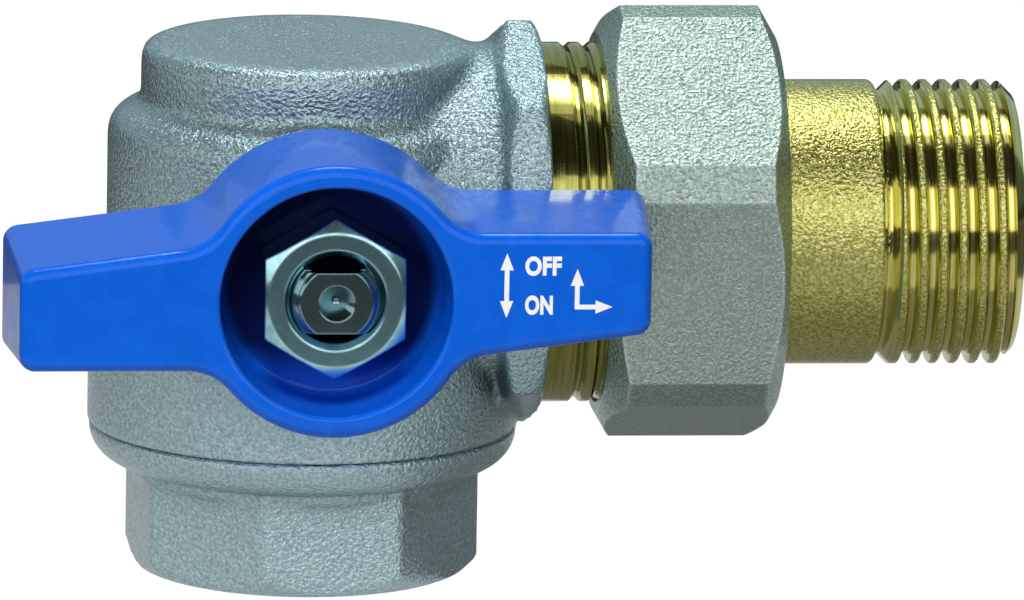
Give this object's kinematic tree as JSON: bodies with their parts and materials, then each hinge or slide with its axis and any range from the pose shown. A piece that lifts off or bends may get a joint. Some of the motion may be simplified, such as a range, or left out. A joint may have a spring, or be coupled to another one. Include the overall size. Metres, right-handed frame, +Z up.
{
  "type": "angle ball valve",
  "caption": "Angle ball valve with a butterfly handle, a female threaded inlet below, and a union nut with a male threaded tailpiece at the side outlet.",
  "frame": {"origin": "centre of the inlet mouth, in the plane of the inlet's end face", "axes": "+Z up along the inlet axis, +X along the outlet towards the tailpiece, the stem and handle point to -Y"},
  "size_m": [0.1191, 0.0715, 0.0665],
  "materials": {
    "nickel_plate": "nickel-plated brass, blasted satin",
    "bare_brass": "bare brass",
    "blue_enamel": "glossy blue enamel on die-cast aluminium",
    "zinc_plate": "zinc-plated steel",
    "stem_metal": "plated brass, turned",
    "ball_chrome": "chrome-plated brass, polished",
    "seat_plastic": "white fluoropolymer",
    "seal_rubber": "black rubber",
    "gasket_fibre": "pressed fibre"
  },
  "bodies": {
    "valve": {"valve_body": "nickel_plate", "inlet_adapter": "nickel_plate", "adapter_o_ring": "seal_rubber", "lower_seat": "seat_plastic", "upper_seat": "seat_plastic"},
    "rotor": {"ball": "ball_chrome", "stem": "stem_metal", "stem_washer": "seat_plastic", "inner_stem_o_ring": "seal_rubber", "outer_stem_o_ring": "seal_rubber", "handle": "blue_enamel", "handle_nut": "zinc_plate"},
    "tail": {"tailpiece": "bare_brass", "union_gasket": "gasket_fibre"},
    "nut": {"union_nut": "nickel_plate"}
  },
  "joints": [
    {"name": "handle_turn", "type": "hinge", "parent": "valve", "child": "rotor", "pos_m": [0, -0.03, 0.0405], "axis": [0, 1, 0], "range_deg": [0, 90]},
    {"name": "tail_slide", "type": "slide", "parent": "valve", "child": "tail", "axis": [1, 0, 0], "range_m": [0, 0.0104]},
    {"name": "union_nut_turn", "type": "hinge", "parent": "tail", "child": "nut", "pos_m": [0.044, 0, 0.0405], "axis": [1, 0, 0], "range_deg": [0, 1620]}
  ],
  "couplings": [
    {"joint": "tail_slide", "follows": "union_nut_turn", "m_per_rad": 0.00036749}
  ]
}
